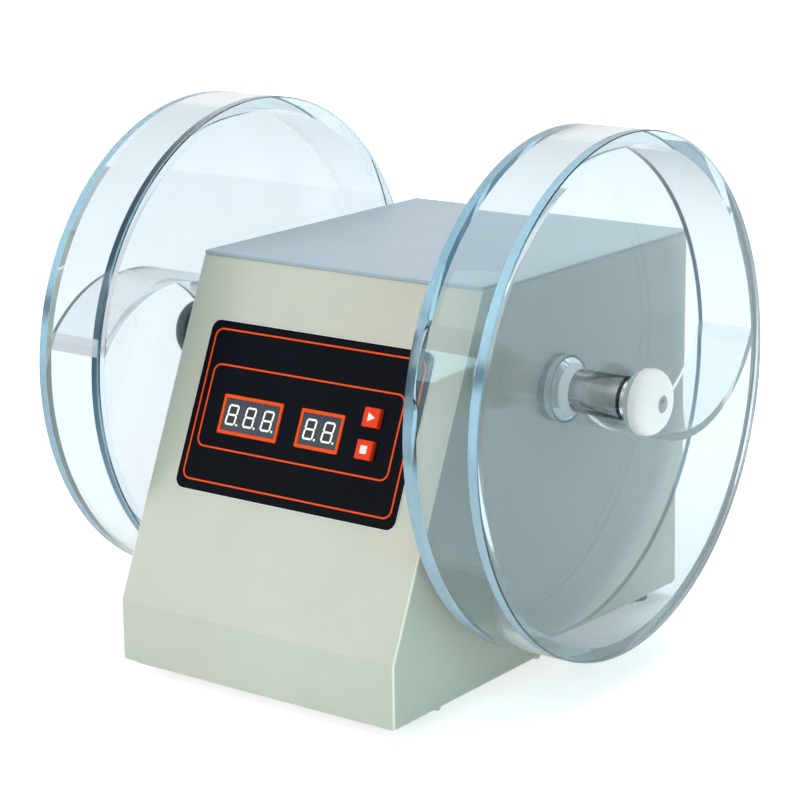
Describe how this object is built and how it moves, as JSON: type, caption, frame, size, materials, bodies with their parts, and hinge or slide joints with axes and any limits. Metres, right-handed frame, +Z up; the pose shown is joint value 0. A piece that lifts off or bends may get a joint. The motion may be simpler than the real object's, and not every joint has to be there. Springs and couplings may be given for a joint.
{
  "type": "tablet friability tester",
  "caption": "Bench tester that tumbles tablets in two clear drums on one motor-driven shaft, with a sloping control panel.",
  "frame": {"origin": "on the bench under the middle of the drum shaft", "axes": "+Z up, -Y the sloping front, +X along the shaft to the right-hand drum as seen from the front"},
  "size_m": [0.3536, 0.2993, 0.3215],
  "materials": {
    "cabinet_paint": "fine-textured satin powder coat, warm off-white",
    "cover_paint": "fine-textured satin powder coat, pale blue-grey",
    "plated_steel": "zinc plated sheet",
    "rubber": "matt moulded rubber",
    "steel": "plain steel",
    "polished_steel": "ground and polished",
    "overlay_black": "printed film, fine matt grain",
    "orange": "satin orange",
    "display_window": "smoked clear",
    "display_black": "black display face",
    "board_green": "solder mask",
    "brass": "plain",
    "black_plastic": "moulded",
    "button_red": "moulded, orange-red",
    "rocker_red": "moulded",
    "aluminium": "cast and machined",
    "turned_aluminium": "turned, bright",
    "motor_paint": "black enamel",
    "acrylic": "clear cast acrylic with polished edges",
    "knob_white": "moulded, glossy white",
    "knob_dark": "moulded, dark slate",
    "chrome": "plated"
  },
  "bodies": {
    "root": {"cabinet_shell": "cabinet_paint", "top_cover": "cover_paint", "rear_panel": "cabinet_paint", "base_plate": "plated_steel", "rubber_feet": "rubber", "underside_screws": "steel", "rear_screws": "steel", "control_overlay": "overlay_black", "display_frames": "orange", "display_windows": "display_window", "turns_module": "display_black", "speed_module": "display_black", "control_board": "board_green", "board_screws": "steel", "standoffs": "brass", "key_switches": "black_plastic", "drive_frame": "plated_steel", "left_bearing_housing": "aluminium", "right_bearing_housing": "aluminium", "frame_screws": "steel", "bearing_outer_rings": "steel", "bearing_balls": "steel", "shaft_seals": "black_plastic", "gearbox": "aluminium", "motor": "motor_paint", "turn_sensor": "black_plastic", "power_supply": "board_green", "power_inlet": "black_plastic", "switch_housing": "black_plastic"},
    "rotor": {"main_shaft": "polished_steel", "drive_gear": "steel", "counting_disc": "black_plastic", "bearing_inner_rings": "steel", "left_drive_flange": "turned_aluminium", "right_drive_flange": "turned_aluminium", "drive_pins": "steel"},
    "pinion": {"motor_pinion": "steel", "output_shaft": "steel"},
    "start_button": {"start_button": "button_red"},
    "reset_button": {"reset_button": "button_red"},
    "rocker": {"switch_rocker": "rocker_red"},
    "fuse_drawer": {"fuse_drawer": "black_plastic"},
    "left_drum": {"left_back_disc": "acrylic", "left_drum_ring": "acrylic", "left_vane": "acrylic", "left_hub_tube": "acrylic"},
    "left_cover": {"left_drum_cover": "acrylic"},
    "left_knob": {"left_collar": "acrylic", "left_washer": "acrylic", "left_knob": "knob_dark", "left_knob_insert": "chrome"},
    "right_drum": {"right_back_disc": "acrylic", "right_drum_ring": "acrylic", "right_vane": "acrylic", "right_hub_tube": "acrylic"},
    "right_cover": {"right_drum_cover": "acrylic"},
    "right_knob": {"right_collar": "acrylic", "right_washer": "acrylic", "right_knob": "knob_white", "right_knob_insert": "chrome"}
  },
  "joints": [
    {"name": "shaft_spin", "type": "hinge", "parent": "root", "child": "rotor", "pos_m": [0, 0, 0.172], "axis": [1, 0, 0], "continuous": true},
    {"name": "pinion_spin", "type": "hinge", "parent": "root", "child": "pinion", "pos_m": [0.076, 0, 0.122], "axis": [1, 0, 0], "continuous": true},
    {"name": "right_drum_slide", "type": "slide", "parent": "rotor", "child": "right_drum", "axis": [1, 0, 0], "range_m": [0, 0.07]},
    {"name": "right_cover_slide", "type": "slide", "parent": "right_drum", "child": "right_cover", "axis": [1, 0, 0], "range_m": [0, 0.04]},
    {"name": "right_knob_slide", "type": "slide", "parent": "right_cover", "child": "right_knob", "axis": [1, 0, 0], "range_m": [0, 0.03]},
    {"name": "left_drum_slide", "type": "slide", "parent": "rotor", "child": "left_drum", "axis": [-1, 0, 0], "range_m": [0, 0.07]},
    {"name": "left_cover_slide", "type": "slide", "parent": "left_drum", "child": "left_cover", "axis": [-1, 0, 0], "range_m": [0, 0.04]},
    {"name": "left_knob_slide", "type": "slide", "parent": "left_cover", "child": "left_knob", "axis": [-1, 0, 0], "range_m": [0, 0.03]},
    {"name": "start_press", "type": "slide", "parent": "root", "child": "start_button", "axis": [0, 0.9169, -0.3991], "range_m": [0, 0.001], "stiffness_N_per_m": 800, "springref_m": -0.001},
    {"name": "reset_press", "type": "slide", "parent": "root", "child": "reset_button", "axis": [0, 0.9169, -0.3991], "range_m": [0, 0.001], "stiffness_N_per_m": 800, "springref_m": -0.001},
    {"name": "rocker_tilt", "type": "hinge", "parent": "root", "child": "rocker", "pos_m": [0.008, 0.144, 0.052], "axis": [-1, 0, 0], "range_deg": [0, 20]},
    {"name": "fuse_drawer_slide", "type": "slide", "parent": "root", "child": "fuse_drawer", "axis": [0, 1, 0], "range_m": [0, 0.014]}
  ],
  "couplings": [
    {"joint": "pinion_spin", "follows": "shaft_spin", "ratio": -3}
  ]
}
